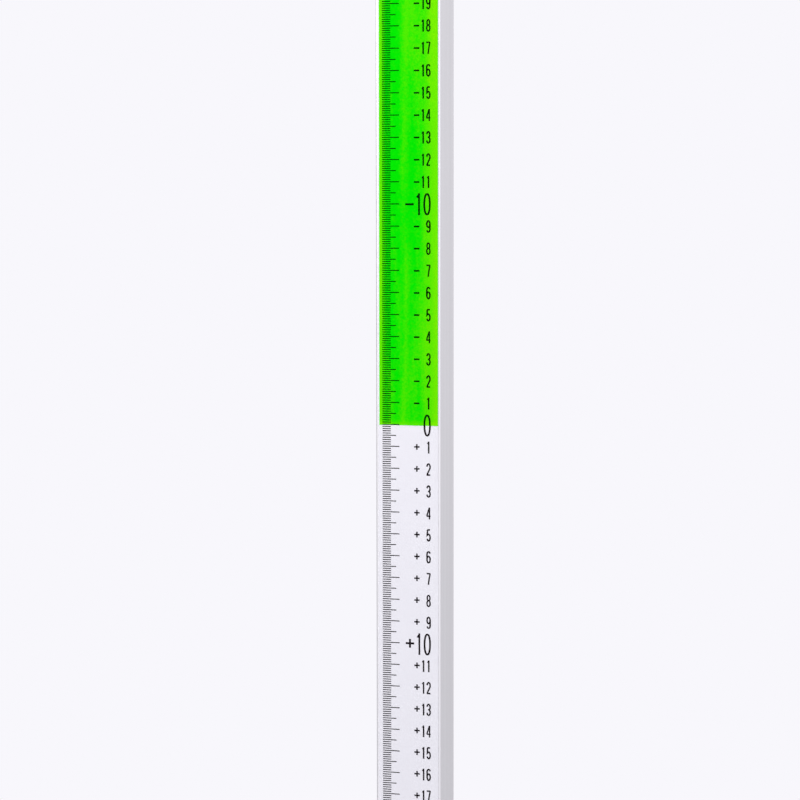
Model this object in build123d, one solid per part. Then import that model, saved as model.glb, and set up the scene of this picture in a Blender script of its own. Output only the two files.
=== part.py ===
from build123d import *
from math import atan2, degrees
import os

# A laser levelling rod: a tube with a plus-and-minus scale slides on a leg and is clamped at any height.
# Millimetres, Z up. The origin is the middle of the foot's underside, the scale faces -Y and the clamp
# knob stands on the right, +X. The rod is drawn pushed together, with the clamp tight.

# Scale tube, its printed tape and the green film over the upper half of the tape
rod_width = 31.1
rod_depth = 20.0
tube_wall = 1.5
tube_length = 950.0
tube_corner = 0.8
bore_corner = 0.5
tape_width = 28.5
tape_thickness = 0.25
tape_margin = 2.0
film_width = 28.0
film_thickness = 0.1
film_lap = 0.3

# Leg, the height tape in its recess and the guide in its top end
slide_gap = 0.75
leg_wall = 1.8
leg_corner = 0.9
leg_tape_width = 20.0
leg_tape_thickness = 0.25
recess_gap = 0.15
guide_length = 82.0
guide_land = 16.0
guide_waist = 2.0
guide_plug = 22.0
guide_pin_diameter = 3.0

# Foot with its steel wear plate
foot_wall = 4.0
foot_flare = 2.0
foot_corner = 4.0
foot_band = 9.0
foot_base = 12.0
foot_socket = 26.0
flute_diameter = 3.0
flute_depth = 0.8
flute_pitch = 4.6
foot_pin_diameter = 4.0
plate_thickness = 3.0
plate_inset = 0.6
plate_chamfer = 0.5
foot_screw_spacing = 22.0
foot_screw_head = 7.0
foot_screw_shank = 4.0
foot_screw_length = 9.0
foot_screw_recess = 0.2

# Cap on the top of the tube
cap_height = 5.0
cap_round = 1.5
cap_plug = 14.0
cap_wall = 1.8
cap_rib = 1.2
cap_air = 3.0

# Collar with its slide liner and the two screws that hold it on the tube
collar_wall = 4.0
collar_corner = 5.0
collar_bevel = 2.4
clamp_zone = 36.0
socket_depth = 30.0
liner_wall = 1.2
liner_flange = 1.5
liner_lip = 1.0
groove_diameter = 2.4
groove_depth = 0.8
groove_pitch = 5.0
groove_count = 4
reading_width = 23.0
reading_height = 7.0
reading_edge = 1.0
collar_screw_spacing = 17.0
collar_screw_head = 5.6
collar_screw_head_height = 1.8
collar_screw_shank = 2.9
collar_counterbore = 2.2

# Clamp: knob, screw, nut and pad
pad_diameter = 12.0
pad_length = 4.5
pad_clearance = 0.15
thread_diameter = 8.0
thread_pitch = 1.25
loosening_turns = 1.0
nose_diameter = 5.0
nose_length = 2.8
nut_flange = 1.5
nut_body_diameter = 11.0
nut_body_length = 7.0
boss_radius = 10.5
boss_taper = 2.0
knob_radius = 16.0
knob_thickness = 12.0
knob_lobes = 6
valley_radius = 7.0
valley_depth = 2.6
knob_round = 1.2
knob_dish_radius = 7.0
knob_dish_depth = 1.0
hub_radius = 8.0
hub_length = 5.0
hub_taper = 1.5
knob_stand_off = 1.5
stud_in_knob = 11.0

# Circular level in the lug on the left of the collar
vial_diameter = 18.0
vial_height = 8.0
vial_wall = 1.2
vial_floor = 1.2
vial_flange_diameter = 25.0
vial_flange = 1.6
vial_side_gap = 0.5
lens_thickness = 2.4
lens_seat = 0.6
lens_round = 0.5
bubble_diameter = 6.0
bubble_depth = 0.9
lug_rim = 1.5
lug_edge = 12.0
lug_root = 27.0
lug_step = 7.0
vial_screw_count = 3
vial_screw_head = 3.2
vial_screw_head_height = 1.2
vial_screw_shank = 2.0
vial_screw_length = 6.0

# Clearances
fit_gap = 0.1
run_gap = 0.15
shaft_gap = 0.05
stop_gap = 0.3
pin_recess = 0.6

# Sections that follow from the sizes above
bore_width = rod_width - 2 * tube_wall
bore_depth = rod_depth - 2 * tube_wall
leg_width = bore_width - 2 * slide_gap
leg_depth = bore_depth - 2 * slide_gap
leg_bore_width = leg_width - 2 * leg_wall
leg_bore_depth = leg_depth - 2 * leg_wall
leg_recess = leg_tape_thickness + recess_gap
liner_bore_width = leg_width + 2 * run_gap
liner_bore_depth = leg_depth + 2 * run_gap
liner_width = liner_bore_width + 2 * liner_wall
liner_depth = liner_bore_depth + 2 * liner_wall
collar_width = rod_width + 2 * collar_wall
collar_depth = rod_depth + 2 * collar_wall
foot_width = leg_width + 2 * foot_wall
foot_depth = leg_depth + 2 * foot_wall

# Heights that follow, from the ground up
leg_bottom = plate_thickness + foot_base
foot_top = leg_bottom + foot_socket
collar_bottom = foot_top + stop_gap
socket_floor = collar_bottom + clamp_zone
tube_bottom = socket_floor + liner_flange
tube_top = tube_bottom + tube_length
collar_top = socket_floor + socket_depth
leg_top = tube_top - cap_plug - cap_air - guide_length
tape_bottom = collar_top + tape_margin
tape_top = tube_top - tape_margin
zero_height = (tape_bottom + tape_top) / 2
clamp_height = collar_bottom + clamp_zone / 2
lug_top = collar_top - lug_step

# Places across the clamp, outwards from the leg
leg_side = leg_width / 2
pad_start = leg_side + pad_clearance
pad_end = pad_start + pad_length
nut_seat = pad_end + loosening_turns * thread_pitch + stop_gap + nut_flange
boss_end = nut_seat + nut_body_length
hub_start = boss_end + knob_stand_off
knob_start = hub_start + hub_length
vial_centre = -(collar_width / 2 + vial_side_gap + vial_flange_diameter / 2)


def bar(width, depth, corner, bottom, top):
    """An upright bar of rounded rectangular section between two heights."""
    return Pos(0, 0, bottom) * extrude(RectangleRounded(width, depth, corner), top - bottom)


def round_along_x(diameter, start, end, height):
    """A round bar along X, through the middle of the rod."""
    return Pos((start + end) / 2, 0, height) * Rot(0, 90, 0) * Cylinder(diameter / 2, end - start)


def round_along_y(diameter, start, end, across, height):
    """A round bar along Y."""
    return Pos(across, (start + end) / 2, height) * Rot(90, 0, 0) * Cylinder(diameter / 2, end - start)


def front_outline(points, thickness):
    """A plate with a closed outline of (x, z) points, as thick along Y as given and centred on it."""
    return extrude(Plane.XZ * make_face(Polyline(*points, close=True)), thickness / 2, both=True)


def side_outline(points, thickness):
    """A plate with a closed outline of (y, z) points, as thick along X as given and centred on it."""
    return extrude(Plane.YZ * make_face(Polyline(*points, close=True)), thickness / 2, both=True)


def cross_slot(size, depth):
    """The cross recess of a screw, cut downwards from its own origin."""
    arm = Box(size, size / 4, depth)
    return Pos(0, 0, -depth / 2) * (arm + Rot(0, 0, 90) * arm)


def pan_screw(head, head_height, shank, length):
    """A pan-head screw that points down, with the underside of its head at its own origin."""
    body = Pos(0, 0, head_height / 2) * Cylinder(head / 2, head_height)
    body = fillet(body.faces().sort_by(Axis.Z)[-1].edges(), head_height / 2)
    body += Pos(0, 0, -length / 2) * Cylinder(shank / 2, length)
    return body - Pos(0, 0, head_height) * cross_slot(head / 2, head_height / 2)


# Scale tube, tape and film
collar_screw_height = (tube_bottom + collar_top) / 2
collar_screw_seat = collar_depth / 2 - collar_counterbore
collar_screw_places = [-collar_screw_spacing / 2, collar_screw_spacing / 2]


def make_outer_tube():
    tube = bar(rod_width, rod_depth, tube_corner, tube_bottom, tube_top)
    tube -= bar(bore_width, bore_depth, bore_corner, tube_bottom, tube_top)
    hole = collar_screw_shank + 2 * shaft_gap
    for across in collar_screw_places:
        tube -= round_along_y(hole, 0, rod_depth, across, collar_screw_height)
    return tube


def make_scale_tape():
    place = Pos(0, -(rod_depth + tape_thickness) / 2, zero_height)
    return place * Box(tape_width, tape_thickness, tape_top - tape_bottom)


def make_minus_film():
    # the film shares the tape's right-hand edge and just covers the zero mark
    across = (tape_width - film_width) / 2
    behind = rod_depth / 2 + tape_thickness
    bottom = zero_height - film_lap
    place = Pos(across, -(behind + film_thickness / 2), (bottom + tape_top) / 2)
    return place * Box(film_width, film_thickness, tape_top - bottom)


# Leg, its tape, guide and pins
guide_pin_height = leg_top - guide_plug / 2
foot_pin_height = leg_bottom + foot_socket / 2
leg_tape_bottom = foot_top + tape_margin
leg_tape_top = leg_top - guide_plug - tape_margin


def make_leg_tube():
    leg = bar(leg_width, leg_depth, leg_corner, leg_bottom, leg_top)
    leg -= bar(leg_bore_width, leg_bore_depth, bore_corner, leg_bottom, leg_top)
    recess = Box(leg_tape_width + 2 * recess_gap, 2 * leg_recess, leg_top - leg_bottom)
    leg -= Pos(0, -leg_depth / 2, (leg_bottom + leg_top) / 2) * recess
    for diameter, height in ((guide_pin_diameter, guide_pin_height), (foot_pin_diameter, foot_pin_height)):
        leg -= round_along_y(diameter + 2 * shaft_gap, -leg_depth, leg_depth, 0, height)
    return leg


def make_leg_tape():
    front = leg_depth / 2 - leg_recess + leg_tape_thickness / 2
    place = Pos(0, -front, (leg_tape_bottom + leg_tape_top) / 2)
    return place * Box(leg_tape_width, leg_tape_thickness, leg_tape_top - leg_tape_bottom)


def guide_outline(plug, land):
    """The guide seen from one side, as (half width, height): plug, lower land, waist and upper land."""
    waist = land - guide_waist
    guide_top = leg_top + guide_length
    points = [(plug - guide_waist, leg_top - guide_plug)]
    points.append((plug, leg_top - guide_plug + guide_waist))
    points.append((plug, leg_top))
    points.append((land, leg_top))
    points.append((land, leg_top + guide_land))
    points.append((waist, leg_top + guide_land + guide_waist))
    points.append((waist, guide_top - guide_land - guide_waist))
    points.append((land, guide_top - guide_land))
    points.append((land, guide_top - guide_waist))
    points.append((land - guide_waist, guide_top))
    return points + [(-half, height) for half, height in reversed(points)]


def make_guide_shoe():
    front = guide_outline(leg_bore_width / 2 - fit_gap, bore_width / 2 - run_gap)
    side = guide_outline(leg_bore_depth / 2 - fit_gap, bore_depth / 2 - run_gap)
    shoe = front_outline(front, bore_depth) & side_outline(side, bore_width)
    run_width = bore_width - 2 * run_gap
    run_depth = bore_depth - 2 * run_gap
    rounded = bar(run_width, run_depth, leg_corner, leg_top, leg_top + guide_length)
    rounded += bar(leg_bore_width, leg_bore_depth, leg_corner, leg_bottom, leg_top)
    shoe &= rounded
    core = leg_bore_depth - 2 * leg_wall
    shoe -= bar(core, core, bore_corner, leg_top, leg_top + guide_length)
    hole = guide_pin_diameter + 2 * shaft_gap
    return shoe - round_along_y(hole, -rod_depth, rod_depth, 0, guide_pin_height)


def make_guide_pin():
    reach = leg_depth / 2 - leg_recess - pin_recess
    return round_along_y(guide_pin_diameter, -reach, reach, 0, guide_pin_height)


# Foot, wear plate and their fasteners
foot_screw_places = [-foot_screw_spacing / 2, foot_screw_spacing / 2]


def make_foot_shoe():
    base_width = foot_width + 2 * foot_flare
    base_depth = foot_depth + 2 * foot_flare
    shoe = bar(base_width, base_depth, foot_corner, plate_thickness, plate_thickness + foot_band)
    shoulder = RectangleRounded(base_width, base_depth, foot_corner)
    shoulder = Pos(0, 0, plate_thickness + foot_band) * shoulder
    rim = Pos(0, 0, foot_top) * RectangleRounded(foot_width, foot_depth, foot_corner)
    shoe += loft([shoulder, rim])
    shoe = fillet(shoe.faces().sort_by(Axis.Z)[-1].outer_wire().edges(), foot_wall / 4)
    shoe = fillet(shoe.faces().sort_by(Axis.Z)[0].outer_wire().edges(), plate_inset)
    # round flutes follow the taper of the front and the back
    taper_height = foot_top - plate_thickness - foot_band
    taper = degrees(atan2(foot_flare, taper_height))
    flute = Cylinder(flute_diameter / 2, taper_height - flute_pitch)
    offset = (foot_depth + foot_flare + flute_diameter) / 2 - flute_depth
    for side in (-1, 1):
        for step in (-2, -1, 1, 2):
            place = Pos(step * flute_pitch, side * offset, foot_top - taper_height / 2)
            shoe -= place * Rot(side * taper, 0, 0) * flute
    shoe -= bar(leg_width + 2 * fit_gap, leg_depth + 2 * fit_gap, leg_corner, leg_bottom, foot_top)
    shoe -= round_along_y(foot_pin_diameter + 2 * shaft_gap, -base_depth, base_depth, 0, foot_pin_height)
    for across in foot_screw_places:
        hole = Cylinder((foot_screw_shank + 2 * shaft_gap) / 2, foot_screw_length)
        shoe -= Pos(across, 0, plate_thickness + foot_screw_length / 2) * hole
    return shoe


def make_foot_pin():
    reach = foot_depth / 2 - pin_recess
    return round_along_y(foot_pin_diameter, -reach, reach, 0, foot_pin_height)


def countersink(across, clearance):
    """The form of a countersunk screw in the wear plate, larger all round by a clearance."""
    head = foot_screw_head / 2 + clearance
    shank = foot_screw_shank / 2 + clearance
    cone_height = head - shank
    form = Pos(across, 0, foot_screw_recess + cone_height / 2) * Cone(head, shank, cone_height)
    shank_length = foot_screw_length - foot_screw_recess
    return form + Pos(across, 0, foot_screw_recess + shank_length / 2) * Cylinder(shank, shank_length)


def make_foot_plate():
    width = foot_width + 2 * (foot_flare - plate_inset)
    depth = foot_depth + 2 * (foot_flare - plate_inset)
    plate = bar(width, depth, foot_corner, 0, plate_thickness)
    plate = chamfer(plate.faces().sort_by(Axis.Z)[0].edges(), plate_chamfer)
    for across in foot_screw_places:
        plate -= countersink(across, shaft_gap)
        mouth = foot_screw_head / 2 + shaft_gap
        plate -= Pos(across, 0, foot_screw_recess / 2) * Cylinder(mouth, foot_screw_recess)
    return plate


def make_foot_screws():
    screws = []
    for across in foot_screw_places:
        slot = Rot(180, 0, 0) * cross_slot(foot_screw_head / 2, foot_screw_head / 4)
        screws.append(countersink(across, 0) - Pos(across, 0, foot_screw_recess) * slot)
    return Compound(screws)


# Cap on the tube
def make_top_cap():
    cap = bar(rod_width, rod_depth, tube_corner, tube_top, tube_top + cap_height)
    cap = fillet(cap.faces().sort_by(Axis.Z)[-1].edges(), cap_round)
    plug_width = bore_width - 2 * run_gap
    plug_depth = bore_depth - 2 * run_gap
    plug = bar(plug_width, plug_depth, bore_corner, tube_top - cap_plug, tube_top)
    plug = chamfer(plug.faces().sort_by(Axis.Z)[0].edges(), run_gap)
    # crush ribs on all four sides of the plug hold it in the tube
    rib_height = cap_plug - cap_wall
    rib_reach = 2 * (run_gap - shaft_gap)
    for step in (-1, 1):
        place = Pos(step * bore_width / 4, 0, tube_top - rib_height / 2)
        plug += place * Box(cap_rib, plug_depth + rib_reach, rib_height)
    plug += Pos(0, 0, tube_top - rib_height / 2) * Box(plug_width + rib_reach, cap_rib, rib_height)
    hollow_width = plug_width - 2 * cap_wall
    hollow_depth = plug_depth - 2 * cap_wall
    plug -= bar(hollow_width, hollow_depth, bore_corner, tube_top - cap_plug, tube_top)
    return cap + plug


# Collar, liner and collar screws
def make_lug():
    """The lug that carries the level: a round-ended shelf whose underside slopes back to the collar."""
    radius = vial_flange_diameter / 2 + lug_rim
    plan = Pos(vial_centre, 0) * Circle(radius)
    plan += Pos(vial_centre / 2, 0) * Rectangle(-vial_centre, 2 * radius)
    shelf = Pos(0, 0, lug_top - lug_root) * extrude(plan, lug_root)
    tip = vial_centre - radius
    side = -collar_width / 2
    points = [(0, lug_top), (tip, lug_top), (tip, lug_top - lug_edge)]
    points.append((side, lug_top - lug_root))
    points.append((0, lug_top - lug_root))
    lug = shelf & front_outline(points, 4 * radius)
    rim = lug.faces().sort_by(Axis.Z)[-1].edges().filter_by(GeomType.CIRCLE)
    lug = fillet(rim, lug_rim / 2)
    return fillet(lug.edges().filter_by(GeomType.ELLIPSE), lug_rim)


def make_collar_body():
    collar = bar(collar_width, collar_depth, collar_corner, collar_bottom, collar_top)
    collar = chamfer(collar.faces().sort_by(Axis.Z)[-1].edges(), collar_bevel)
    collar = fillet(collar.faces().sort_by(Axis.Z)[0].edges(), collar_bevel / 2)
    collar += make_lug()
    # tapered boss for the clamp nut
    boss_length = boss_end - collar_width / 2
    boss = Cone(boss_radius + boss_taper, boss_radius, boss_length)
    boss = fillet(boss.faces().sort_by(Axis.Z)[-1].edges(), boss_taper / 2)
    collar += Pos((boss_end + collar_width / 2) / 2, 0, clamp_height) * Rot(0, 90, 0) * boss
    # grip grooves across the front and the back
    first = clamp_height + reading_height / 2 - groove_pitch * (groove_count - 1) / 2
    groove_end = collar_width / 2 - collar_corner
    offset = collar_depth / 2 + groove_diameter / 2 - groove_depth
    for step in range(groove_count):
        groove = round_along_x(groove_diameter, -groove_end, groove_end, first + step * groove_pitch)
        collar -= Pos(0, offset, 0) * groove
        collar -= Pos(0, -offset, 0) * groove
    # bevel down to a thin reading edge in front of the leg's scale
    face = -collar_depth / 2
    edge = -liner_depth / 2 - fit_gap - reading_edge
    bevel = [(2 * face, collar_bottom), (edge, collar_bottom), (face, collar_bottom + reading_height)]
    bevel.append((2 * face, collar_bottom + reading_height))
    collar -= side_outline(bevel, reading_width)
    # bores for the liner, the tube, the pad and the nut
    fit = 2 * fit_gap
    collar -= bar(liner_width + fit, liner_depth + fit, leg_corner, collar_bottom, socket_floor)
    collar -= bar(rod_width + fit, rod_depth + fit, tube_corner, socket_floor, collar_top)
    collar -= round_along_x(pad_diameter + 2 * run_gap, 0, nut_seat, clamp_height)
    collar -= round_along_x(nut_body_diameter + 2 * shaft_gap, 0, boss_end, clamp_height)
    # counterbored screws on the back
    for across in collar_screw_places:
        hole = collar_screw_shank + 4 * shaft_gap
        collar -= round_along_y(hole, 0, collar_depth, across, collar_screw_height)
        mouth = collar_screw_head + 4 * shaft_gap
        collar -= round_along_y(mouth, collar_screw_seat, collar_depth, across, collar_screw_height)
    # pocket and pilot holes for the level
    pocket_depth = vial_height + stop_gap
    pocket = Cylinder(vial_diameter / 2 + fit_gap, pocket_depth)
    collar -= Pos(vial_centre, 0, lug_top - pocket_depth / 2) * pocket
    pilot = Cylinder(vial_screw_shank / 2 + shaft_gap, vial_screw_length)
    for place in vial_screw_places():
        collar -= place * Pos(0, 0, lug_top - vial_screw_length / 2) * pilot
    return collar


def make_collar_liner():
    bottom = collar_bottom + liner_lip
    liner = bar(liner_width, liner_depth, leg_corner, bottom, tube_bottom)
    liner += bar(rod_width, rod_depth, tube_corner, socket_floor, tube_bottom)
    liner -= bar(liner_bore_width, liner_bore_depth, bore_corner, bottom, tube_bottom)
    return liner - round_along_x(pad_diameter + 2 * run_gap, 0, collar_width, clamp_height)


def make_collar_screws():
    # the points end flush with the inside of the tube, clear of the leg
    length = collar_screw_seat - bore_depth / 2
    screws = []
    for across in collar_screw_places:
        screw = pan_screw(collar_screw_head, collar_screw_head_height, collar_screw_shank, length)
        screws.append(Pos(across, collar_screw_seat, collar_screw_height) * Rot(-90, 0, 0) * screw)
    return Compound(screws)


# Clamp nut, pad, screw and knob
nose_start = pad_end - nose_length


def make_clamp_nut():
    nut = round_along_x(pad_diameter + 2 * shaft_gap, nut_seat - nut_flange, nut_seat, clamp_height)
    nut += round_along_x(nut_body_diameter, nut_seat, boss_end, clamp_height)
    return nut - round_along_x(thread_diameter + 2 * shaft_gap, 0, boss_end, clamp_height)


def make_clamp_pad():
    pad = round_along_x(pad_diameter, pad_start, pad_end, clamp_height)
    pad = fillet(pad.faces().sort_by(Axis.X)[-1].edges(), nut_flange / 2)
    return pad - round_along_x(nose_diameter + 2 * shaft_gap, nose_start, pad_end, clamp_height)


def make_clamp_stud():
    stud_end = hub_start + stud_in_knob
    stud = round_along_x(thread_diameter, pad_end, stud_end, clamp_height)
    stud = chamfer(stud.edges().filter_by(GeomType.CIRCLE), thread_pitch / 2)
    nose = round_along_x(nose_diameter, nose_start, stud_end, clamp_height)
    return stud + nose


def make_clamp_knob():
    outline = Circle(knob_radius)
    valley_place = knob_radius + valley_radius - valley_depth
    outline -= PolarLocations(valley_place, knob_lobes) * Circle(valley_radius)
    outline = fillet(outline.vertices(), valley_depth / 2)
    knob = extrude(outline, knob_thickness)
    faces = knob.faces().sort_by(Axis.Z)
    knob = fillet(faces[0].edges() + faces[-1].edges(), knob_round)
    knob -= Pos(0, 0, knob_thickness) * Cylinder(knob_dish_radius, 2 * knob_dish_depth)
    knob += Pos(0, 0, -hub_length / 2) * Cone(hub_radius, hub_radius + hub_taper, hub_length)
    knob = Pos(knob_start, 0, clamp_height) * Rot(0, 90, 0) * knob
    return knob - round_along_x(thread_diameter + 2 * shaft_gap, 0, hub_start + stud_in_knob, clamp_height)


# Circular level
def vial_screw_places():
    """Where the level's screws stand, seen from above."""
    circle = (vial_diameter + vial_flange_diameter) / 4
    return Pos(vial_centre, 0) * PolarLocations(circle, vial_screw_count)


liquid_radius = vial_diameter / 2 - vial_wall
liquid_bottom = lug_top - vial_height + vial_floor
lens_bottom = lug_top + vial_flange - lens_thickness
lens_radius = liquid_radius + lens_seat


def make_vial_cup():
    cup = Pos(0, 0, lug_top - vial_height / 2) * Cylinder(vial_diameter / 2, vial_height)
    flange = Pos(0, 0, lug_top + vial_flange / 2) * Cylinder(vial_flange_diameter / 2, vial_flange)
    cup += chamfer(flange.faces().sort_by(Axis.Z)[-1].edges(), vial_flange / 4)
    well = lens_bottom - liquid_bottom
    cup -= Pos(0, 0, liquid_bottom + well / 2) * Cylinder(liquid_radius, well)
    cup -= Pos(0, 0, lens_bottom + lens_thickness / 2) * Cylinder(lens_radius, lens_thickness)
    cup = Pos(vial_centre, 0) * cup
    hole = Cylinder(vial_screw_shank / 2 + shaft_gap, vial_flange)
    for place in vial_screw_places():
        cup -= place * Pos(0, 0, lug_top + vial_flange / 2) * hole
    return cup


def make_vial_liquid():
    depth = lens_bottom - liquid_bottom
    liquid = Pos(0, 0, liquid_bottom + depth / 2) * Cylinder(liquid_radius - shaft_gap, depth)
    # the bubble lies under the lens: a shallow cap of a sphere
    bubble_radius = (bubble_diameter ** 2 / 4 + bubble_depth ** 2) / (2 * bubble_depth)
    liquid -= Pos(0, 0, lens_bottom + bubble_radius - bubble_depth) * Sphere(bubble_radius)
    return Pos(vial_centre, 0) * liquid


def make_vial_lens():
    lens = Cylinder(lens_radius - shaft_gap, lens_thickness)
    lens = fillet(lens.faces().sort_by(Axis.Z)[-1].edges(), lens_round)
    return Pos(vial_centre, 0, lens_bottom + lens_thickness / 2) * lens


def make_vial_screws():
    screw = pan_screw(vial_screw_head, vial_screw_head_height, vial_screw_shank, vial_screw_length)
    return Compound([place * Pos(0, 0, lug_top + vial_flange) * screw for place in vial_screw_places()])


makers = {
    "outer_tube": make_outer_tube,
    "scale_tape": make_scale_tape,
    "minus_film": make_minus_film,
    "leg_tube": make_leg_tube,
    "leg_tape": make_leg_tape,
    "guide_shoe": make_guide_shoe,
    "guide_pin": make_guide_pin,
    "foot_shoe": make_foot_shoe,
    "foot_pin": make_foot_pin,
    "foot_plate": make_foot_plate,
    "foot_screws": make_foot_screws,
    "top_cap": make_top_cap,
    "collar_body": make_collar_body,
    "collar_liner": make_collar_liner,
    "collar_screws": make_collar_screws,
    "clamp_nut": make_clamp_nut,
    "clamp_pad": make_clamp_pad,
    "clamp_stud": make_clamp_stud,
    "clamp_knob": make_clamp_knob,
    "vial_cup": make_vial_cup,
    "vial_liquid": make_vial_liquid,
    "vial_lens": make_vial_lens,
    "vial_screws": make_vial_screws,
}

os.makedirs("parts", exist_ok=True)
for node, make in makers.items():
    export_step(make(), f"parts/{node}.step")
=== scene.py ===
import math

import bpy
import numpy as np
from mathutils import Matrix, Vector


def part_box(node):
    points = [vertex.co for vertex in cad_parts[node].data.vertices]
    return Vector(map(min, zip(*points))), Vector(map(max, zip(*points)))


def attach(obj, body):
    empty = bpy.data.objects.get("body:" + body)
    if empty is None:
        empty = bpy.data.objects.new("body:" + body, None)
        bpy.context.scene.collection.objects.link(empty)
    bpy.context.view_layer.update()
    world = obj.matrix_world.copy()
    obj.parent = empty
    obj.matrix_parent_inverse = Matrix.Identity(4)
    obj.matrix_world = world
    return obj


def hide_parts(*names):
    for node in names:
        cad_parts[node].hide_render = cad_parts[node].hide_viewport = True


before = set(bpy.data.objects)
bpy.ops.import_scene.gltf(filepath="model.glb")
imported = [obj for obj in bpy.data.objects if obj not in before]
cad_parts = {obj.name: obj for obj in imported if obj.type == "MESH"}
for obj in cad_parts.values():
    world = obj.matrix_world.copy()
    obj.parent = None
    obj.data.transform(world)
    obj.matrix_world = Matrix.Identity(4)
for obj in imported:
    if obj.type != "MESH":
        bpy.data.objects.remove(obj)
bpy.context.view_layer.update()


# Foot: a shoe moulded in black glass-filled nylon, pinned on the leg, over a pressed steel wear plate
# that two countersunk screws hold. Handling rubs the nylon's edges a little paler.
MM = 0.001


def linear(hex_colour):
    """The linear red, green, blue and alpha of an sRGB hex colour: the standard curve, undone."""
    srgb = np.array([int(hex_colour[i:i + 2], 16) for i in (1, 3, 5)]) / 255
    straight = np.where(srgb <= 0.04045, srgb / 12.92, ((srgb + 0.055) / 1.055) ** 2.4)
    return (*straight.tolist(), 1.0)


def add_node(tree, kind, inputs=None, **settings):
    """Adds a node with its settings; an input is a plain value, or a socket to link to."""
    node = tree.nodes.new(kind)
    for name, value in settings.items():
        setattr(node, name, value)
    for name, value in (inputs or {}).items():
        if isinstance(value, bpy.types.NodeSocket):
            tree.links.new(value, node.inputs[name])
        else:
            node.inputs[name].default_value = value
    return node


def set_surface(tree, inputs):
    """Sets or links inputs of a material's surface shader."""
    surface = tree.nodes["Principled BSDF"]
    for name, value in inputs.items():
        if isinstance(value, bpy.types.NodeSocket):
            tree.links.new(value, surface.inputs[name])
        else:
            surface.inputs[name].default_value = value


def start_material(name):
    """A new material with its node tree and the place on the piece in metres."""
    material = bpy.data.materials.new(name)
    material.use_nodes = True
    tree = material.node_tree
    return material, tree, add_node(tree, "ShaderNodeTexCoord").outputs["Object"]


def dress(material, *names):
    """Gives CAD pieces a material."""
    for name in names:
        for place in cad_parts[name].material_slots:
            place.material = material


def moulded_nylon(name):
    """Glass-filled nylon from an etched mould: fine grain, a patchy sheen and paler, rubbed edges."""
    material, tree, place = start_material(name)
    # the real grain is about half as wide, too fine to show
    grain_width = 0.45 * MM
    grain_depth = 0.07 * MM
    patch_width = 11 * MM
    rub_width = 2.2 * MM
    edge_width = 1.2 * MM
    flat_likeness = 0.995
    edge_likeness = 0.92
    grain = add_node(tree, "ShaderNodeTexNoise", {
        "Vector": place, "Scale": 1 / grain_width, "Detail": 3.0})
    patch = add_node(tree, "ShaderNodeTexNoise", {
        "Vector": place, "Scale": 1 / patch_width, "Detail": 4.0})
    rub = add_node(tree, "ShaderNodeTexNoise", {
        "Vector": place, "Scale": 1 / rub_width, "Detail": 4.0})
    # at an edge the surface, rounded over the edge's width, faces another way than it really does
    rounded = add_node(tree, "ShaderNodeBevel", {"Radius": edge_width}, samples=8)
    facing = add_node(tree, "ShaderNodeNewGeometry")
    alike = add_node(tree, "ShaderNodeVectorMath", {
        0: rounded.outputs["Normal"], 1: facing.outputs["Normal"]}, operation="DOT_PRODUCT")
    edge = add_node(tree, "ShaderNodeMapRange", {
        "Value": alike.outputs["Value"], "From Min": flat_likeness, "From Max": edge_likeness})
    worn = add_node(tree, "ShaderNodeMapRange", {
        "Value": rub.outputs["Fac"], "From Min": 0.36, "From Max": 0.64})
    rubbed = add_node(tree, "ShaderNodeMath", {0: edge.outputs["Result"], 1: worn.outputs["Result"]},
                      operation="MULTIPLY")
    speck = add_node(tree, "ShaderNodeMapRange", {
        "Value": grain.outputs["Fac"], "From Min": 0.34, "From Max": 0.66})
    tone = add_node(tree, "ShaderNodeMix", {
        "Factor": speck.outputs["Result"], "A": linear("#101113"),
        "B": linear("#2b2c2f")}, data_type="RGBA")
    colour = add_node(tree, "ShaderNodeMix", {
        "Factor": rubbed.outputs["Value"], "A": tone.outputs["Result"],
        "B": linear("#66676c")}, data_type="RGBA")
    sheen = add_node(tree, "ShaderNodeMapRange", {
        "Value": patch.outputs["Fac"], "From Min": 0.3, "From Max": 0.7, "To Min": 0.42, "To Max": 0.52})
    bump = add_node(tree, "ShaderNodeBump", {
        "Height": grain.outputs["Fac"], "Distance": grain_depth, "Strength": 1.0})
    set_surface(tree, {"Base Color": colour.outputs["Result"], "Roughness": sheen.outputs["Result"],
                       "Normal": bump.outputs["Normal"], "IOR": 1.53})
    return material


def plated_steel(name):
    """Steel with a bright zinc coat: a cool grey with faint drawn scratches and slightly cloudy gloss."""
    material, tree, place = start_material(name)
    cloud_width = 4 * MM
    scratch_width = 0.25 * MM
    scratch_stretch = 0.04
    cloud = add_node(tree, "ShaderNodeTexNoise", {
        "Vector": place, "Scale": 1 / cloud_width, "Detail": 4.0})
    along = add_node(tree, "ShaderNodeMapping", {"Vector": place, "Scale": (scratch_stretch, 1.0, 1.0)})
    scratch = add_node(tree, "ShaderNodeTexNoise", {
        "Vector": along.outputs["Vector"], "Scale": 1 / scratch_width, "Detail": 2.0})
    gloss = add_node(tree, "ShaderNodeMapRange", {
        "Value": scratch.outputs["Fac"], "From Min": 0.3, "From Max": 0.7,
        "To Min": 0.24, "To Max": 0.42})
    colour = add_node(tree, "ShaderNodeMix", {
        "Factor": cloud.outputs["Fac"], "A": linear("#b4b5b8"), "B": linear("#d2d2cf")}, data_type="RGBA")
    set_surface(tree, {"Base Color": colour.outputs["Result"], "Roughness": gloss.outputs["Result"],
                       "Metallic": 1.0})
    return material


nylon = moulded_nylon("black_glass_filled_nylon")
steel = plated_steel("zinc_plated_steel")
dress(nylon, "foot_shoe")
dress(steel, "foot_plate", "foot_screws", "foot_pin")


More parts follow.
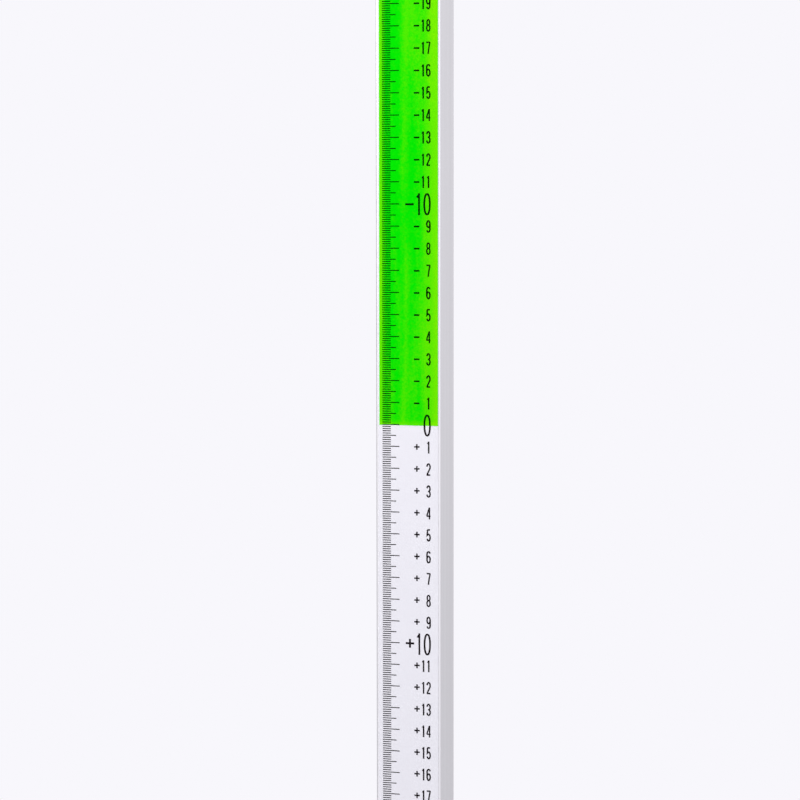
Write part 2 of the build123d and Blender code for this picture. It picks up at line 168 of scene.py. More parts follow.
# Leg: a drawn aluminium tube, satin anodised, that stands in the foot and carries the height tape in a
# shallow recess along its front. A white acetal guide is pinned in its top end.
def anodised_aluminium(name):
    """Satin anodised extrusion: a pale, slightly violet grey metal with fine die lines along it."""
    material, tree, place = start_material(name)
    # real die lines are finer, too fine to show
    line_width = 0.5 * MM
    band_width = 3.5 * MM
    line_stretch = 0.004
    line_depth = 0.004 * MM
    along = add_node(tree, "ShaderNodeMapping", {"Vector": place, "Scale": (1.0, 1.0, line_stretch)})
    lines = add_node(tree, "ShaderNodeTexNoise", {
        "Vector": along.outputs["Vector"], "Scale": 1 / line_width, "Detail": 3.0})
    bands = add_node(tree, "ShaderNodeTexNoise", {
        "Vector": along.outputs["Vector"], "Scale": 1 / band_width, "Detail": 2.0})
    colour = add_node(tree, "ShaderNodeMix", {
        "Factor": bands.outputs["Fac"], "A": linear("#d7d6d8"), "B": linear("#e4e3e5")}, data_type="RGBA")
    satin = add_node(tree, "ShaderNodeMapRange", {
        "Value": lines.outputs["Fac"], "From Min": 0.3, "From Max": 0.7, "To Min": 0.33, "To Max": 0.45})
    bump = add_node(tree, "ShaderNodeBump", {
        "Height": lines.outputs["Fac"], "Distance": line_depth, "Strength": 0.5})
    set_surface(tree, {"Base Color": colour.outputs["Result"], "Roughness": satin.outputs["Result"],
                       "Normal": bump.outputs["Normal"], "Metallic": 1.0})
    return material


def turned_acetal(name):
    """White acetal: waxy, slightly warm, with faint flow marks."""
    material, tree, place = start_material(name)
    flow_width = 6 * MM
    flow = add_node(tree, "ShaderNodeTexNoise", {"Vector": place, "Scale": 1 / flow_width, "Detail": 3.0})
    colour = add_node(tree, "ShaderNodeMix", {
        "Factor": flow.outputs["Fac"], "A": linear("#dedbd2"), "B": linear("#ebe9e1")}, data_type="RGBA")
    wax = add_node(tree, "ShaderNodeMapRange", {
        "Value": flow.outputs["Fac"], "From Min": 0.3, "From Max": 0.7, "To Min": 0.3, "To Max": 0.4})
    set_surface(tree, {"Base Color": colour.outputs["Result"], "Roughness": wax.outputs["Result"],
                       "IOR": 1.48})
    return material


aluminium = anodised_aluminium("satin_anodised_aluminium")
acetal = turned_acetal("white_acetal")
dress(aluminium, "leg_tube")
dress(acetal, "guide_shoe")
dress(steel, "guide_pin")


# Height tape on the leg: a white polyester tape, printed in black with the height of the zero mark above
# the ground in centimetres, which is read at the lower edge of the collar.
def printed_tape(name):
    """White polyester tape: a cool white with a smooth semi-gloss laminate that ripples very slightly."""
    material, tree, place = start_material(name)
    ripple_width = 9 * MM
    ripple_depth = 0.01 * MM
    ripple = add_node(tree, "ShaderNodeTexNoise", {
        "Vector": place, "Scale": 1 / ripple_width, "Detail": 2.0})
    colour = add_node(tree, "ShaderNodeMix", {
        "Factor": ripple.outputs["Fac"], "A": linear("#f1f0f6"),
        "B": linear("#f5f4fa")}, data_type="RGBA")
    gloss = add_node(tree, "ShaderNodeMapRange", {
        "Value": ripple.outputs["Fac"], "From Min": 0.3, "From Max": 0.7, "To Min": 0.36, "To Max": 0.46})
    bump = add_node(tree, "ShaderNodeBump", {
        "Height": ripple.outputs["Fac"], "Distance": ripple_depth, "Strength": 0.3})
    set_surface(tree, {"Base Color": colour.outputs["Result"], "Roughness": gloss.outputs["Result"],
                       "Normal": bump.outputs["Normal"], "IOR": 1.5, "Specular IOR Level": 0.25})
    return material


def printing_ink(name, thin, full, gloss):
    """Screen-printed ink: matt, with the cover a little uneven. Thin and full are its two tones, and its
    gloss is the specular level."""
    material, tree, place = start_material(name)
    speck_width = 0.35 * MM
    speck = add_node(tree, "ShaderNodeTexNoise", {
        "Vector": place, "Scale": 1 / speck_width, "Detail": 2.0})
    colour = add_node(tree, "ShaderNodeMix", {
        "Factor": speck.outputs["Fac"], "A": linear(full), "B": linear(thin)}, data_type="RGBA")
    set_surface(tree, {"Base Color": colour.outputs["Result"], "Roughness": 0.6, "IOR": 1.5,
                       "Specular IOR Level": gloss})
    return material


def ink_bars(left, right, low, high, face):
    """Boxes of ink on a face that looks along -Y: x from left to right, z from low to high, and y from a
    little under the face to the ink's height above it. All corners are picked at once by their bits."""
    bit_x, bit_y, bit_z = np.array([[corner & 1, corner >> 1 & 1, corner >> 2] for corner in range(8)]).T
    edges = np.broadcast_arrays(left, right, low, high)
    left, right, low, high = (np.asarray(edge)[:, None] for edge in edges)
    x = np.where(bit_x, right, left)
    y = np.where(bit_y, face + ink_root, face - ink_height) + 0 * x
    z = np.where(bit_z, high, low)
    sides = np.array([[0, 1, 5, 4], [2, 6, 7, 3], [0, 4, 6, 2], [1, 3, 7, 5], [0, 2, 3, 1], [4, 5, 7, 6]])
    quads = sides + 8 * np.arange(len(x))[:, None, None]
    return np.stack([x, y, z], axis=-1).reshape(-1, 3), quads.reshape(-1, 4)


def ink_line(path, width, face, layer):
    """A line of ink: a flat rectangular section carried along a path of (x, z) points. At a bend the
    section lies along the sum of the two normals, divided by one plus their product, so the line keeps
    its width."""
    closed = np.allclose(path[0], path[-1])
    path = path[:-1] if closed else path
    ahead = np.roll(path, -1, axis=0) - path
    ahead = ahead / np.linalg.norm(ahead, axis=1, keepdims=True)
    ahead[-1] = ahead[-1] if closed else ahead[-2]
    normal = np.stack([-ahead[:, 1], ahead[:, 0]], axis=1)
    before = np.roll(normal, 1, axis=0)
    before[0] = before[0] if closed else normal[0]
    half = (normal + before) / (1 + (normal * before).sum(axis=1, keepdims=True)) * width / 2
    front = np.full(len(path), face - ink_height - layer * ink_layer)
    back = np.full(len(path), face + ink_root)
    corners = [(path + half, front), (path - half, front), (path - half, back), (path + half, back)]
    points = np.stack([np.stack([line[:, 0], y, line[:, 1]], axis=1) for line, y in corners], axis=1)
    rows = np.arange(len(path) if closed else len(path) - 1)[:, None]
    side = np.arange(4)
    turn = (side + 1) % 4
    after = (rows + 1) % len(path)
    quads = np.stack([rows * 4 + side, rows * 4 + turn, after * 4 + turn, after * 4 + side], axis=-1)
    quads = quads.reshape(-1, 4)
    if not closed:
        last = 4 * (len(path) - 1)
        quads = np.concatenate([quads, [[0, 3, 2, 1], [last, last + 1, last + 2, last + 3]]])
    return points.reshape(-1, 3), quads


def arc(x, z, across, up, start, end, power=2.0):
    """Points on a superellipse about (x, z): the cosine and sine of each angle, raised to 2 over the
    power."""
    turn = np.radians(np.linspace(start, end, 2 + round(abs(end - start) / arc_step)))
    cosine, sine = np.cos(turn), np.sin(turn)
    bow = 2 / power
    return np.stack([x + across * np.sign(cosine) * np.abs(cosine) ** bow,
                     z + up * np.sign(sine) * np.abs(sine) ** bow], axis=1)


def run(*points):
    """A run of straight lines through points."""
    return np.array(points, float)


# Strokes of the ten digits, a narrow plain sans, in a cell that reaches from -1 to 1 across and up
arc_step = 12.0
zero_bow = 2.3
six = np.concatenate([arc(0, 0.5, 1, 0.5, 22, 180), arc(0, -0.42, 1, 0.58, 180, 540)])
digit_strokes = {
    "0": [arc(0, 0, 1, 1, 90, 450, zero_bow)],
    "1": [run((0.12, 1.08), (0.12, -1.08)), run((0.2, 1.0), (-0.62, 0.66))],
    "2": [np.concatenate([arc(0, 0.45, 1, 0.55, 172, -28), run((-0.95, -0.97))]),
          run((-1.2, -1), (1.1, -1))],
    "3": [np.concatenate([arc(0, 0.5, 0.95, 0.5, 172, -90), run((-0.35, 0.0))]),
          arc(0, -0.48, 1, 0.52, 90, -172)],
    "4": [run((0.48, 1.02), (-1.12, -0.44)), run((-1.3, -0.5), (1.3, -0.5)),
          run((0.62, 1.08), (0.62, -1.08))],
    "5": [run((0.95, 1), (-0.75, 1)),
          np.concatenate([run((-0.7, 1.0), (-0.85, 0.02)), arc(0, -0.4, 1, 0.6, 122, -158)])],
    "6": [six],
    "7": [run((-1.25, 1), (1.15, 1)), run((1.0, 1.0), (0.3, -0.05), (-0.1, -1.05))],
    "8": [arc(0, 0.52, 0.88, 0.48, -90, 270), arc(0, -0.46, 1, 0.54, 90, 450)],
    "9": [-six],
}

# Sizes of the print: how thick the ink lies, the ticks, and the small and the tall figures
ink_height = 0.03 * MM
ink_root = 0.02 * MM
ink_layer = 0.004 * MM
tick_width = 0.41 * MM
small_figures = {"high": 5.7 * MM, "wide": 2.2 * MM, "advance": 2.5 * MM, "stroke": 0.71 * MM}
crowded_strokes = {"4": 0.88, "7": 0.93, "8": 0.93}
tall_figures = {"high": 10.0 * MM, "wide": 3.45 * MM, "advance": 3.95 * MM, "stroke": 0.85 * MM}


def figure_reach(figures):
    """Half the width and height of a figure, between the middles of its strokes."""
    return np.array([figures["wide"] - figures["stroke"], figures["high"] - figures["stroke"]]) / 2


def ink_number(text, right, height, figures, face):
    """A number set to the right: each digit's strokes are scaled from their cell to the figure's size."""
    reach = figure_reach(figures)
    lines = []
    for place, digit in enumerate(reversed(text)):
        middle = np.array([right - figures["wide"] / 2 - place * figures["advance"], height])
        for layer, stroke in enumerate(digit_strokes[digit]):
            width = figures["stroke"] * crowded_strokes.get(digit, 1)
            lines.append(ink_line(middle + stroke * reach, width, face, layer))
    return lines


def ink_ticks(readings, heights, left, lengths, face):
    """A tick for each whole millimetre: longest on a centimetre, middling on its half."""
    one, five, ten = lengths
    length = np.where(readings % 10 == 0, ten, np.where(readings % 5 == 0, five, one))
    return ink_bars(left, left + length, heights - tick_width / 2, heights + tick_width / 2, face)


def ink_piece(name, shapes, material, body):
    """Joins shapes of ink into one printed piece that rides on a body."""
    starts = np.cumsum([0] + [len(points) for points, quads in shapes[:-1]])
    points = np.concatenate([points for points, quads in shapes])
    quads = np.concatenate([quads + start for (points_, quads), start in zip(shapes, starts)])
    mesh = bpy.data.meshes.new(name)
    mesh.from_pydata(points.tolist(), [], quads.tolist())
    mesh.materials.append(material)
    piece = bpy.data.objects.new(name, mesh)
    bpy.context.scene.collection.objects.link(piece)
    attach(piece, body)
    return piece


tape = printed_tape("white_polyester_tape")
black_ink = printing_ink("black_printing_ink", "#241d22", "#161114", gloss=0.03)
dress(tape, "leg_tape")
leg_tape_low, leg_tape_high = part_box("leg_tape")
zero_height = sum(corner.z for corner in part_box("scale_tape")) / 2
reading_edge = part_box("collar_body")[0].z
leg_reading_shift = zero_height - reading_edge
leg_tick_left = leg_tape_low.x + 1.0 * MM
leg_tick_lengths = (3.5 * MM, 5.0 * MM, 6.5 * MM)
leg_number_right = leg_tape_high.x - 1.5 * MM
leg_number_room = 4.0 * MM
leg_first = math.ceil((leg_tape_low.z + leg_reading_shift) / MM)
leg_last = math.floor((leg_tape_high.z + leg_reading_shift) / MM)
leg_readings = np.arange(leg_first, leg_last + 1)
leg_heights = leg_readings * MM - leg_reading_shift
leg_print = [ink_ticks(leg_readings, leg_heights, leg_tick_left, leg_tick_lengths, leg_tape_low.y)]
for reading in leg_readings[leg_readings % 10 == 0]:
    height = reading * MM - leg_reading_shift
    if leg_tape_low.z + leg_number_room < height < leg_tape_high.z - leg_number_room:
        leg_print += ink_number(str(reading // 10), leg_number_right, height, small_figures,
                                leg_tape_low.y)
ink_piece("leg_tape_print", leg_print, black_ink, "leg")


# Collar: the clamp housing, moulded in the same black nylon, slipped over the lower end of the tube and
# held by two screws at the back. A white acetal liner inside it runs on the leg.
dress(nylon, "collar_body")
dress(acetal, "collar_liner")
dress(steel, "collar_screws")


# Clamp: a lobed hand knob of black nylon, moulded on a steel screw with a rolled thread. The screw runs
# in a flanged brass nut, and its plain nose presses an acetal pad on the leg.
def turned_brass(name):
    """Brass as it comes off the lathe: warm yellow with fine rings about the screw's axis."""
    material, tree, place = start_material(name)
    # the wave node runs through 20 radians in one unit; rings off a lathe are finer, too fine to show
    wave_radians = 20
    ring_width = 0.4 * MM
    rings = add_node(tree, "ShaderNodeTexWave", {
        "Vector": place, "Scale": math.tau / (wave_radians * ring_width), "Distortion": 1.0},
        bands_direction="X")
    gloss = add_node(tree, "ShaderNodeMapRange", {
        "Value": rings.outputs["Fac"], "To Min": 0.2, "To Max": 0.34})
    colour = add_node(tree, "ShaderNodeMix", {
        "Factor": rings.outputs["Fac"], "A": linear("#b8924a"), "B": linear("#caa55c")}, data_type="RGBA")
    set_surface(tree, {"Base Color": colour.outputs["Result"], "Roughness": gloss.outputs["Result"],
                       "Metallic": 1.0})
    return material


def ring_piece(name, rings, caps, material, loop=False):
    """A piece from rings of points, each joined to the next. A cap is a fan from the first or the last
    ring to its middle, and a loop joins the last ring to the first."""
    count, spokes = rings.shape[:2]
    spoke = np.arange(spokes)
    after = (spoke + 1) % spokes
    here = np.arange(count if loop else count - 1)[:, None] * spokes
    ahead = (here + spokes) % (count * spokes)
    quads = np.stack([here + spoke, here + after, ahead + after, ahead + spoke], axis=-1)
    faces = quads.reshape(-1, 4).tolist()
    for number, end in enumerate(caps):
        middle = np.full(spokes, count * spokes + number)
        rim = [after, spoke] if end == 0 else [spoke, after]
        faces += np.stack([middle, *(end % count * spokes + np.array(rim))], axis=-1).tolist()
    points = np.concatenate([rings.reshape(-1, 3), rings[list(caps)].mean(axis=1)])
    mesh = bpy.data.meshes.new(name)
    mesh.from_pydata(points.tolist(), [], faces)
    mesh.polygons.foreach_set("use_smooth", np.ones(len(faces), bool))
    mesh.set_sharp_from_angle(angle=math.radians(sharp_angle))
    mesh.materials.append(material)
    piece = bpy.data.objects.new(name, mesh)
    bpy.context.scene.collection.objects.link(piece)
    return piece


def screw_rings(low, high):
    """Rings along X of a right-hand screw with a nose. The way to the nearest crest, counted in pitches,
    is a saw-tooth that turns with the angle, and the radius falls with it from the crest's flat to the
    root's. Both ends of the thread are bevelled."""
    crest_flat = 1 / 8
    root_flat = 1 / 4
    fall = (1 - crest_flat - root_flat) / 2
    radius = (high.z - low.z) / 2
    start = low.x + nose_length
    turn = np.linspace(0, 2 * np.pi, screw_spokes, endpoint=False)
    along = np.linspace(start, high.x, round((high.x - start) / thread_pitch * thread_steps))[:, None]
    away = np.abs((along / thread_pitch - turn / (2 * np.pi) + 0.5) % 1 - 0.5)
    thread = radius - thread_depth * np.clip((away - crest_flat / 2) / fall, 0, 1)
    end = np.minimum(along - start, high.x - along)
    thread = np.minimum(thread, radius - thread_bevel + end)
    nose_along = np.array([[low.x], [low.x + nose_bevel], [start]])
    nose = np.array([[nose_radius - nose_bevel], [nose_radius], [nose_radius]]) + 0 * turn
    along = np.concatenate([nose_along, along]) + 0 * turn
    radius = np.concatenate([nose, thread])
    return np.stack([along, (low.y + high.y) / 2 + radius * np.cos(turn),
                     (low.z + high.z) / 2 + radius * np.sin(turn)], axis=-1)


sharp_angle = 30
thread_pitch = 1.25 * MM
thread_depth = 0.61 * thread_pitch
thread_bevel = thread_pitch / 2
thread_steps = 12
screw_spokes = 48
nose_radius = 2.5 * MM
nose_length = 2.8 * MM
nose_bevel = 0.3 * MM
screw = ring_piece("clamp_screw", screw_rings(*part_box("clamp_stud")), (0, -1), steel)
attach(screw, "knob")
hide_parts("clamp_stud")
dress(nylon, "clamp_knob")
dress(turned_brass("turned_brass"), "clamp_nut")
dress(acetal, "clamp_pad")


# Circular level: an aluminium cup in the collar's lug, filled with a yellow-green liquid that leaves a
# bubble, closed by a clear acrylic lens with a ring printed under it, and held by three small screws.
def level_liquid(name, middle):
    """Dyed alcohol: a fluorescent yellow-green that glows a little, so it is only partly clear. Painted
    shade darkens the bubble's steep rim, where the real rim turns the light away, and painted light makes
    its middle paler, where less liquid lies under it."""
    material, tree, place = start_material(name)
    swirl_width = 5 * MM
    # how strong the painted light in the bubble's middle and the painted shade at its rim are
    bubble_painted_light = 0.6
    rim_painted_shade = 0.8
    swirl = add_node(tree, "ShaderNodeTexNoise", {"Vector": place, "Scale": 1 / swirl_width})
    dye = add_node(tree, "ShaderNodeMix", {
        "Factor": swirl.outputs["Fac"], "A": linear("#b9dc1c"), "B": linear("#cdea3a")}, data_type="RGBA")
    from_middle = add_node(tree, "ShaderNodeMapping", {
        "Vector": place, "Location": (-middle[0], -middle[1], 0.0), "Scale": (1.0, 1.0, 0.0)})
    distance = add_node(tree, "ShaderNodeVectorMath", {0: from_middle.outputs["Vector"]},
                        operation="LENGTH")
    # painted light: the bubble's middle is painted paler, where less liquid lies under it
    pale = add_node(tree, "ShaderNodeMapRange", {
        "Value": distance.outputs["Value"], "From Min": 0.5 * bubble_radius,
        "From Max": 0.8 * bubble_radius, "To Min": bubble_painted_light, "To Max": 0.0},
        interpolation_type="SMOOTHSTEP")
    # painted shade: a dark ring painted at the bubble's steep rim, where the real rim turns the light
    # away
    rim = add_node(tree, "ShaderNodeMapRange", {
        "Value": distance.outputs["Value"], "From Min": 0.75 * bubble_radius,
        "From Max": 0.9 * bubble_radius, "To Min": 0.0, "To Max": rim_painted_shade},
        interpolation_type="SMOOTHSTEP")
    inside = add_node(tree, "ShaderNodeMath", {0: distance.outputs["Value"], 1: bubble_radius},
                      operation="LESS_THAN")
    dark = add_node(tree, "ShaderNodeMath", {0: rim.outputs["Result"], 1: inside.outputs["Value"]},
                    operation="MULTIPLY")
    # mixes the painted light of the bubble's middle into the dye
    bubble = add_node(tree, "ShaderNodeMix", {
        "Factor": pale.outputs["Result"], "A": dye.outputs["Result"],
        "B": linear("#f0f7bd")}, data_type="RGBA")
    # mixes the painted shade of the bubble's rim over the colour
    colour = add_node(tree, "ShaderNodeMix", {
        "Factor": dark.outputs["Value"], "A": bubble.outputs["Result"],
        "B": linear("#465c10")}, data_type="RGBA")
    set_surface(tree, {"Base Color": colour.outputs["Result"], "Roughness": 0.02, "IOR": 1.36,
                       "Transmission Weight": 0.6})
    return material


def clear_acrylic(name):
    """Polished acrylic: clear and glossy, with hairline marks from wiping."""
    material, tree, place = start_material(name)
    wipe_width = 0.4 * MM
    wipe = add_node(tree, "ShaderNodeTexNoise", {"Vector": place, "Scale": 1 / wipe_width, "Detail": 3.0})
    gloss = add_node(tree, "ShaderNodeMapRange", {
        "Value": wipe.outputs["Fac"], "From Min": 0.4, "From Max": 0.7, "To Min": 0.0, "To Max": 0.06})
    set_surface(tree, {"Base Color": linear("#f4f8f6"), "Roughness": gloss.outputs["Result"], "IOR": 1.49,
                       "Transmission Weight": 1.0})
    return material


def turned_rings(profile, centre):
    """Rings about an upright axis: each radius of the profile, turned all the way round at its height."""
    turn = np.linspace(0, 2 * np.pi, turned_spokes, endpoint=False)
    radius, height = np.asarray(profile).T[:, :, None]
    x = centre[0] + radius * np.cos(turn)
    y = centre[1] + radius * np.sin(turn)
    return np.stack([x, y, height + 0 * turn], axis=-1)


def liquid_profile(radius, bottom, top):
    """Radius and height up the wall of the liquid, in over its top and down the bubble's half ellipse."""
    sweep = np.radians(np.linspace(90, bubble_hub, bubble_steps))
    bubble = np.stack([bubble_radius * np.sin(sweep), top - bubble_depth * np.cos(sweep)], axis=1)
    wall = [(radius - liquid_bevel, bottom), (radius, bottom + liquid_bevel), (radius, top)]
    return np.concatenate([wall, bubble])


turned_spokes = 96
bubble_radius = 3.0 * MM
bubble_depth = 0.9 * MM
bubble_hub = 5
bubble_steps = 16
liquid_bevel = 0.4 * MM
under_lens = 0.03 * MM
mark_radius = 3.9 * MM
mark_width = 0.4 * MM
liquid_low, liquid_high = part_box("vial_liquid")
level_middle = ((liquid_low.x + liquid_high.x) / 2, (liquid_low.y + liquid_high.y) / 2)
liquid_radius = (liquid_high.x - liquid_low.x) / 2
wall_profile = liquid_profile(liquid_radius, liquid_low.z, liquid_high.z - under_lens)
alcohol = level_liquid("dyed_alcohol", level_middle)
liquid = ring_piece("level_liquid", turned_rings(wall_profile, level_middle), (0, -1), alcohol)
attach(liquid, "tube")
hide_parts("vial_liquid")
liquid.visible_shadow = False

mark_low = liquid_high.z + ink_root
mark_high = mark_low + ink_height
mark_profile = [(mark_radius + mark_width, mark_low), (mark_radius + mark_width, mark_high),
                (mark_radius, mark_high), (mark_radius, mark_low)]
level_mark = ring_piece("level_mark", turned_rings(mark_profile, level_middle), (), black_ink, loop=True)
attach(level_mark, "tube")

dress(aluminium, "vial_cup")
dress(clear_acrylic("clear_acrylic"), "vial_lens")
dress(steel, "vial_screws")
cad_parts["vial_lens"].visible_shadow = False


# Scale tube: an extruded rectangular aluminium tube, satin anodised, closed at the top by a black nylon
# cap whose ribbed plug is pressed in.
dress(aluminium, "outer_tube")
dress(nylon, "top_cap")


# Scale tape: the same white polyester tape, stuck along the front of the tube and printed in black. Below
# the zero mark it counts plus centimetres downwards.
scale_low, scale_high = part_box("scale_tape")
film_low, film_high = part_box("minus_film")
tick_left = -12.28 * MM
tick_lengths = (4.0 * MM, 6.5 * MM, 8.05 * MM)
number_right = 10.8 * MM
small_sign = {"middle": 4.14 * MM, "wide": 2.6 * MM, "plus": 0.67 * MM, "minus": 0.72 * MM}
tall_sign = {"middle": 0.78 * MM, "wide": 4.0 * MM, "plus": 0.92 * MM, "minus": 0.9 * MM}
figure_drop = 0.17 * MM
number_room = 6.0 * MM
tall_every = 10


def ink_sign(sign, height, size, face):
    """A minus as heavy as the figures, or a lighter plus whose upright is as long as its bar."""
    reach = size["wide"] / 2
    bar = run((size["middle"] - reach, height), (size["middle"] + reach, height))
    upright = run((size["middle"], height - reach), (size["middle"], height + reach))
    if sign < 0:
        return [ink_line(bar - (0, figure_drop), size["minus"], face, 0)]
    return [ink_line(bar, size["plus"], face, 0), ink_line(upright, size["plus"], face, 1)]


def scale_marks(sign, end, face):
    """Half of the scale, from zero to its end: ticks, signs and numbers. The zero tick is under the
    film."""
    reach = math.floor(abs(end - zero_height) / MM)
    readings = np.arange(0 if sign < 0 else 1, reach + 1)
    shapes = [ink_ticks(readings, zero_height - sign * readings * MM, tick_left, tick_lengths, face)]
    for centimetre in range(1, math.floor((reach * MM - number_room) / (10 * MM)) + 1):
        height = zero_height - sign * centimetre * 10 * MM
        tall = centimetre % tall_every == 0
        figures = tall_figures if tall else small_figures
        shapes += ink_number(str(centimetre), number_right, height - figure_drop, figures, face)
        shapes += ink_sign(sign, height, tall_sign if tall else small_sign, face)
    # the tall zero straddles the edge of the film, and each half of the scale has its share of it
    zero_reach = figure_reach(tall_figures)
    lap = (zero_height - figure_drop - film_low.z) / zero_reach[1]
    split = math.degrees(math.asin(lap ** (zero_bow / 2)))
    ends = (-split, 180 + split) if sign < 0 else (180 + split, 360 - split)
    middle = np.array([number_right - tall_figures["wide"] / 2, zero_height - figure_drop])
    bow = middle + arc(0, 0, 1, 1, *ends, zero_bow) * zero_reach
    shapes.append(ink_line(bow, tall_figures["stroke"], face, 0))
    return shapes


dress(tape, "scale_tape")
ink_piece("plus_scale_print", scale_marks(1, scale_low.z, scale_low.y), black_ink, "tube")


# Green film: a fluorescent green film stuck over the upper half of the tape, down to the zero mark. The
# print under it, minus centimetres counted upwards, shows through as a very dark green.
film_gloss = 0.012


def fluorescent_film(name, left, right, bottom):
    """Fluorescent green film: pure green, with mottled yellower streaks along its length. Its edges are
    painted yellower and brighter: painted light for the glow that the film gives off at its edges."""
    material, tree, place = start_material(name)
    left_fade = 3.5 * MM
    right_fade = 9.0 * MM
    bottom_fade = 2.8 * MM
    # how strongly each edge's painted light, the film's edge glow, turns the green yellower
    left_glow_share = 0.6
    right_glow_share = 0.7
    bottom_glow_share = 0.4
    streak_width = 7 * MM
    streak_stretch = 0.08
    streak_start = 8.655
    streak_low = 0.32
    streak_high = 0.66
    streak_yellow = 0.58
    mottle_width = 1.1 * MM
    mottle_share = 0.45
    ripple_width = 4 * MM
    apart = add_node(tree, "ShaderNodeSeparateXYZ", {"Vector": place})
    # painted light: a yellower glow painted along the left, right and bottom edges
    left_painted_glow = add_node(tree, "ShaderNodeMapRange", {
        "Value": apart.outputs["X"], "From Min": left, "From Max": left + left_fade,
        "To Min": left_glow_share, "To Max": 0.0}, interpolation_type="SMOOTHSTEP")
    right_painted_glow = add_node(tree, "ShaderNodeMapRange", {
        "Value": apart.outputs["X"], "From Min": right - right_fade, "From Max": right,
        "To Min": 0.0, "To Max": right_glow_share}, interpolation_type="SMOOTHSTEP")
    bottom_painted_glow = add_node(tree, "ShaderNodeMapRange", {
        "Value": apart.outputs["Z"], "From Min": bottom, "From Max": bottom + bottom_fade,
        "To Min": bottom_glow_share, "To Max": 0.0}, interpolation_type="SMOOTHSTEP")
    along = add_node(tree, "ShaderNodeMapping", {
        "Vector": place, "Scale": (1.0, 1.0, streak_stretch),
        "Location": (0.0, 0.0, streak_start * streak_stretch)})
    streak = add_node(tree, "ShaderNodeTexNoise", {
        "Vector": along.outputs["Vector"], "Scale": 1 / streak_width, "Detail": 2.0})
    mottle = add_node(tree, "ShaderNodeTexNoise", {
        "Vector": place, "Scale": 1 / mottle_width, "Detail": 2.0})
    cloudy = add_node(tree, "ShaderNodeMath", {
        0: mottle.outputs["Fac"], 1: mottle_share, 2: streak.outputs["Fac"]}, operation="MULTIPLY_ADD")
    strong = add_node(tree, "ShaderNodeMapRange", {
        "Value": cloudy.outputs["Value"], "From Min": streak_low + mottle_share / 2,
        "From Max": streak_high + mottle_share / 2, "To Max": streak_yellow})
    faint = add_node(tree, "ShaderNodeMath", {0: strong.outputs["Result"], 1: 2.0}, operation="POWER")
    # the painted edge glow of the sides and the bottom, then the streaks' own yellowing
    sides = add_node(tree, "ShaderNodeMath", {
        0: left_painted_glow.outputs["Result"], 1: right_painted_glow.outputs["Result"]}, operation="ADD")
    edges = add_node(tree, "ShaderNodeMath", {
        0: sides.outputs["Value"], 1: bottom_painted_glow.outputs["Result"]}, operation="ADD")
    yellow = add_node(tree, "ShaderNodeMath", {
        0: edges.outputs["Value"], 1: faint.outputs["Value"]}, operation="ADD", use_clamp=True)
    colour = add_node(tree, "ShaderNodeMix", {
        "Factor": yellow.outputs["Value"], "A": linear("#02e701"),
        "B": linear("#80ee01")}, data_type="RGBA")
    ripple = add_node(tree, "ShaderNodeTexNoise", {
        "Vector": place, "Scale": 1 / ripple_width, "Detail": 2.0})
    gloss = add_node(tree, "ShaderNodeMapRange", {
        "Value": ripple.outputs["Fac"], "From Min": 0.3, "From Max": 0.7, "To Min": 0.34, "To Max": 0.44})
    set_surface(tree, {"Base Color": colour.outputs["Result"], "Roughness": gloss.outputs["Result"],
                       "IOR": 1.5, "Specular IOR Level": film_gloss})
    return material


dress(fluorescent_film("fluorescent_green_film", film_low.x, film_high.x, film_low.z), "minus_film")
green_ink = printing_ink("ink_under_green_film", "#023306", "#012204", film_gloss)
ink_piece("minus_scale_print", scale_marks(-1, film_high.z, film_low.y), green_ink, "tube")


# Stage: a pale floor that fades out into the white surround, two large soft lamps, one above the other,
# in front on the left, and a camera where the photograph was taken from.
floor_gap = 0.1 * MM
floor_radius = 1.8
floor_solid = 0.35
floor_hub = 0.1
floor_rings = 12
floor_glow = 0.5
paper, tree, place = start_material("white_paper_floor")
distance = add_node(tree, "ShaderNodeVectorMath", {0: place}, operation="LENGTH")
fade = add_node(tree, "ShaderNodeMapRange", {
    "Value": distance.outputs["Value"], "From Min": floor_solid * floor_radius, "From Max": floor_radius},
    interpolation_type="SMOOTHSTEP")
rays = add_node(tree, "ShaderNodeLightPath")
lit = add_node(tree, "ShaderNodeMath", {0: rays.outputs["Is Diffuse Ray"], 1: -floor_glow, 2: floor_glow},
               operation="MULTIPLY_ADD")
set_surface(tree, {"Base Color": linear("#b9b8be"), "Roughness": 0.9, "Specular IOR Level": 0.0,
                   "Emission Color": linear("#f8f7fc"), "Emission Strength": lit.outputs["Value"]})
clear = add_node(tree, "ShaderNodeBsdfTransparent")
blend = add_node(tree, "ShaderNodeMixShader", {
    "Fac": fade.outputs["Result"], 1: tree.nodes["Principled BSDF"].outputs["BSDF"],
    2: clear.outputs["BSDF"]})
tree.links.new(blend.outputs["Shader"], tree.nodes["Material Output"].inputs["Surface"])
floor_reach = np.linspace(floor_radius, floor_hub, floor_rings)
floor_profile = np.stack([floor_reach, np.full(floor_rings, -floor_gap)], axis=1)
ring_piece("floor", turned_rings(floor_profile, (0, 0)), (-1,), paper)

world = bpy.data.worlds.new("white_studio")
bpy.context.scene.world = world
world.use_nodes = True
tree = world.node_tree
room_light = 0.64
left_tone = 0.6
front_tone = 1.48
ground_tone = 0.72
rays = add_node(tree, "ShaderNodeLightPath")
seen = add_node(tree, "ShaderNodeMath", {
    0: rays.outputs["Is Camera Ray"], 1: rays.outputs["Is Glossy Ray"]}, operation="MAXIMUM")
seen = add_node(tree, "ShaderNodeMath", {
    0: seen.outputs["Value"], 1: rays.outputs["Is Transmission Ray"]}, operation="MAXIMUM")
heading = add_node(tree, "ShaderNodeSeparateXYZ", {
    "Vector": add_node(tree, "ShaderNodeTexCoord").outputs["Generated"]})
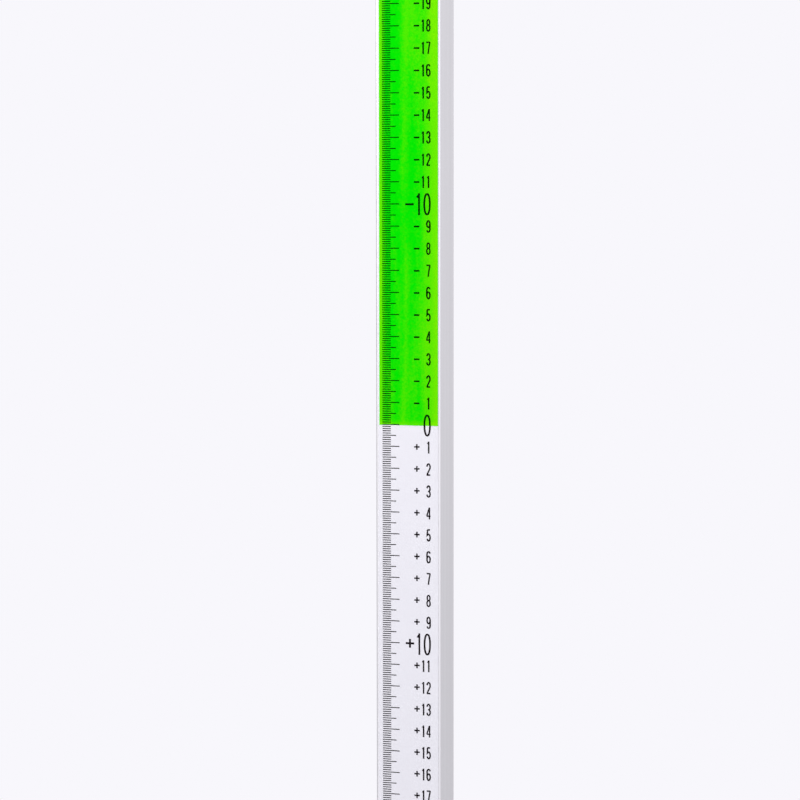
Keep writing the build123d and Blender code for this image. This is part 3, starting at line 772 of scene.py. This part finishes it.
# reflections find the surround darker on the left and towards the ground, and brighter in front
left = add_node(tree, "ShaderNodeMapRange", {
    "Value": heading.outputs["X"], "From Min": -0.95, "From Max": -0.4,
    "To Min": left_tone, "To Max": 1.0})
front = add_node(tree, "ShaderNodeMapRange", {
    "Value": heading.outputs["Y"], "From Min": -0.9, "From Max": -0.2,
    "To Min": front_tone, "To Max": 1.0})
ground = add_node(tree, "ShaderNodeMapRange", {
    "Value": heading.outputs["Z"], "From Min": -0.3, "From Max": 0.0,
    "To Min": ground_tone, "To Max": 1.0})
tone = add_node(tree, "ShaderNodeMath", {0: left.outputs["Result"], 1: front.outputs["Result"]},
                operation="MULTIPLY")
tone = add_node(tree, "ShaderNodeMath", {0: tone.outputs["Value"], 1: ground.outputs["Result"]},
                operation="MULTIPLY")
strength = add_node(tree, "ShaderNodeMix", {
    "Factor": rays.outputs["Is Camera Ray"], "A": tone.outputs["Value"], "B": 1.0})
light = add_node(tree, "ShaderNodeBackground", {"Color": linear("#fcfbff"), "Strength": room_light})
surround = add_node(tree, "ShaderNodeBackground", {
    "Color": linear("#f8f7fc"), "Strength": strength.outputs["Result"]})
both = add_node(tree, "ShaderNodeMixShader", {
    "Fac": seen.outputs["Value"], 1: light.outputs["Background"], 2: surround.outputs["Background"]})
tree.links.new(both.outputs["Shader"], tree.nodes["World Output"].inputs["Surface"])

# each lamp's energy in watts, height over the zero mark in metres, and tilt in degrees; the upper one is
# for the part of the rod that is drawn out
lamps = {"low_lamp": (3.3, 0.68, 50), "high_lamp": (1.7, 1.5, 71)}
lamp_size = 0.9
lamp_spread = 100
lamp_reach = 0.62
lamp_turn = -45
for name, (energy, up, tilt) in lamps.items():
    lamp = bpy.data.lights.new(name, "AREA")
    lamp.size = lamp_size
    lamp.energy = energy
    lamp.spread = math.radians(lamp_spread)
    lamp_stand = bpy.data.objects.new(name, lamp)
    lamp_stand.location = (-lamp_reach, -lamp_reach, zero_height + up)
    lamp_stand.rotation_euler = (math.radians(tilt), 0, math.radians(lamp_turn))
    bpy.context.scene.collection.objects.link(lamp_stand)

photo_width = 800
focal_pixels = 2744.5
camera_right = 386.96 * MM
camera_back = 1191.0 * MM
camera_up = 93.54 * MM
camera_dip = 3.789
camera_roll = 0.065
camera_turn = 18.311
camera = bpy.data.cameras.new("camera")
camera.sensor_width = 36.0
camera.lens = camera.sensor_width * focal_pixels / photo_width
camera_stand = bpy.data.objects.new("camera", camera)
camera_stand.location = (camera_right, -camera_back, zero_height + camera_up)
camera_stand.rotation_euler = np.radians((90 - camera_dip, camera_roll, camera_turn)).tolist()
bpy.context.scene.collection.objects.link(camera_stand)
bpy.context.scene.camera = camera_stand
bpy.context.scene.view_settings.view_transform = "Standard"
